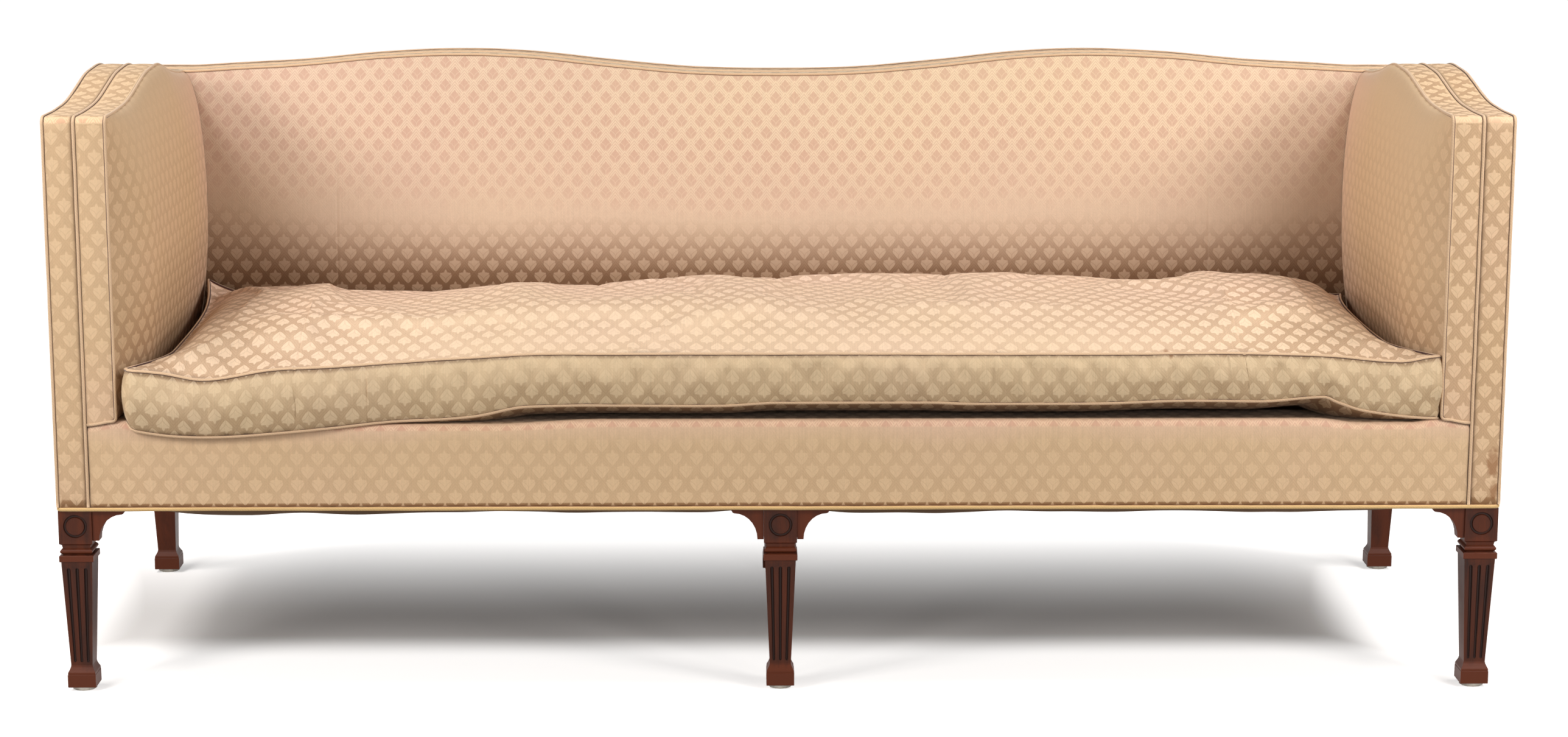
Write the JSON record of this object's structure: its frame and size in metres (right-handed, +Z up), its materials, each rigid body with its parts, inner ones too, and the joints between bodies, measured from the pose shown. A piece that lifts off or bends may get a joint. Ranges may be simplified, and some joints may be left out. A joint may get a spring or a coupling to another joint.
{
  "type": "camelback sofa",
  "caption": "Upholstered sofa with square arms, a serpentine camel back, one long loose seat cushion and fluted tapered wooden legs.",
  "frame": {"origin": "on the floor, under the middle of the object's box", "axes": "+X to the right as seen from the front, across the width; +Y from the front to the back; +Z up"},
  "size_m": [2.0002, 0.7181, 0.8432],
  "materials": {
    "leg_wood": "dark mahogany, rubbed soft gloss",
    "frame_wood": "sawn hardwood, unfinished",
    "glide_steel": "worn nickel-plated steel",
    "spring_steel": "black drawn spring wire with twine ties",
    "jute_webbing": "woven jute webbing",
    "burlap": "coarse burlap over stuffing",
    "damask_tan": "faded silk and cotton damask with small tulips",
    "damask_rose": "silk and cotton damask with small tulips, rose beige",
    "welt_cloth": "piping covered in the same damask, plum brown in the creases",
    "base_welt_cloth": "piping covered in faded gold damask",
    "dust_cloth": "thin brown cotton dust cloth"
  },
  "bodies": {
    "root": {"front_leg_left": "leg_wood", "front_leg_centre": "leg_wood", "front_leg_right": "leg_wood", "rear_leg_left": "leg_wood", "rear_leg_centre": "leg_wood", "rear_leg_right": "leg_wood", "bracket_left": "leg_wood", "bracket_right": "leg_wood", "centre_bracket_left": "leg_wood", "centre_bracket_right": "leg_wood", "front_glide_left": "glide_steel", "front_glide_centre": "glide_steel", "front_glide_right": "glide_steel", "rear_glide_left": "glide_steel", "rear_glide_centre": "glide_steel", "rear_glide_right": "glide_steel", "front_rail": "frame_wood", "back_rail": "frame_wood", "side_rail_left": "frame_wood", "side_rail_right": "frame_wood", "seat_brace": "frame_wood", "front_corner_block_left": "frame_wood", "front_corner_block_right": "frame_wood", "rear_corner_block_left": "frame_wood", "rear_corner_block_right": "frame_wood", "arm_stump_left": "frame_wood", "arm_stump_right": "frame_wood", "arm_rail_left": "frame_wood", "arm_rail_right": "frame_wood", "arm_tack_rail_left": "frame_wood", "arm_tack_rail_right": "frame_wood", "back_post_left": "frame_wood", "back_post_right": "frame_wood", "crest_rail": "frame_wood", "back_tack_rail": "frame_wood", "back_upright_left": "frame_wood", "back_upright_right": "frame_wood", "seat_webbing": "jute_webbing", "back_webbing": "jute_webbing", "seat_springs": "spring_steel", "spring_canvas": "burlap", "deck_pad": "burlap", "front_cover": "damask_tan", "outside_arm_left": "damask_tan", "outside_arm_right": "damask_tan", "outside_back": "damask_tan", "inside_arm_left": "damask_tan", "inside_arm_right": "damask_tan", "inside_back": "damask_rose", "dust_cover": "dust_cloth", "inner_welt": "welt_cloth", "middle_welt": "welt_cloth", "arm_outer_welt_left": "welt_cloth", "arm_outer_welt_right": "welt_cloth", "back_outer_welt": "welt_cloth", "base_welt": "base_welt_cloth"},
    "seat_cushion": {"seat_cushion": "damask_rose", "cushion_lower_welt": "welt_cloth", "cushion_upper_welt": "welt_cloth"}
  },
  "joints": [
    {"name": "cushion_lift", "type": "slide", "parent": "root", "child": "seat_cushion", "axis": [0, 0, 1], "range_m": [0, 0.48]}
  ]
}
